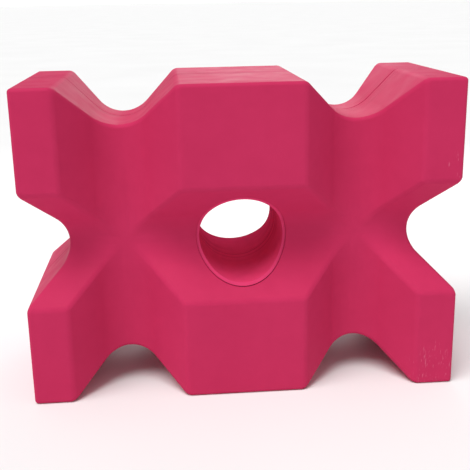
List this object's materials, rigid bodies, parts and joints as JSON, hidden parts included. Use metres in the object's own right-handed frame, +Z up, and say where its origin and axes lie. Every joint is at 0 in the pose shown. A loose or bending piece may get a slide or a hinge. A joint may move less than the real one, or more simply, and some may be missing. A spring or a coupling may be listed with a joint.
{
  "type": "horse jump pole block",
  "caption": "Hollow moulded plastic block with rounded V grooves for poles in every face, a round bore through the middle and a screwed filler cap.",
  "frame": {"origin": "centre of the footprint, on the surface that the block stands on", "axes": "+Z up, +X along the width to the right as seen from the front, -Y towards the front face, +Y towards the back that holds the filler cap"},
  "size_m": [0.6, 0.275, 0.44],
  "materials": {
    "shell": "moulded polyethylene with a soft sheen and a faint mottle",
    "bead": "polyethylene weld bead, a little below the surface",
    "sleeve": "polyethylene tube with a soft sheen",
    "neck": "moulded thread insert",
    "cap": "fine satin moulded cap",
    "seal": "plain rubber washer"
  },
  "bodies": {
    "block": {"front_shell": "shell", "rear_shell": "shell", "seam_bead": "bead", "front_bore_sleeve": "sleeve", "rear_bore_sleeve": "sleeve", "filler_neck": "neck"},
    "seal": {"cap_seal": "seal"},
    "cap": {"filler_cap": "cap"}
  },
  "joints": [
    {"name": "cap_travel", "type": "slide", "parent": "block", "child": "seal", "axis": [0, 1, 0], "range_m": [0, 0.0381]},
    {"name": "cap_turn", "type": "hinge", "parent": "seal", "child": "cap", "pos_m": [0, 0.1165, 0.36975], "axis": [0, 1, 0], "range_deg": [0, 2280]}
  ],
  "couplings": [
    {"joint": "cap_travel", "follows": "cap_turn", "m_per_rad": 0.00095493}
  ]
}
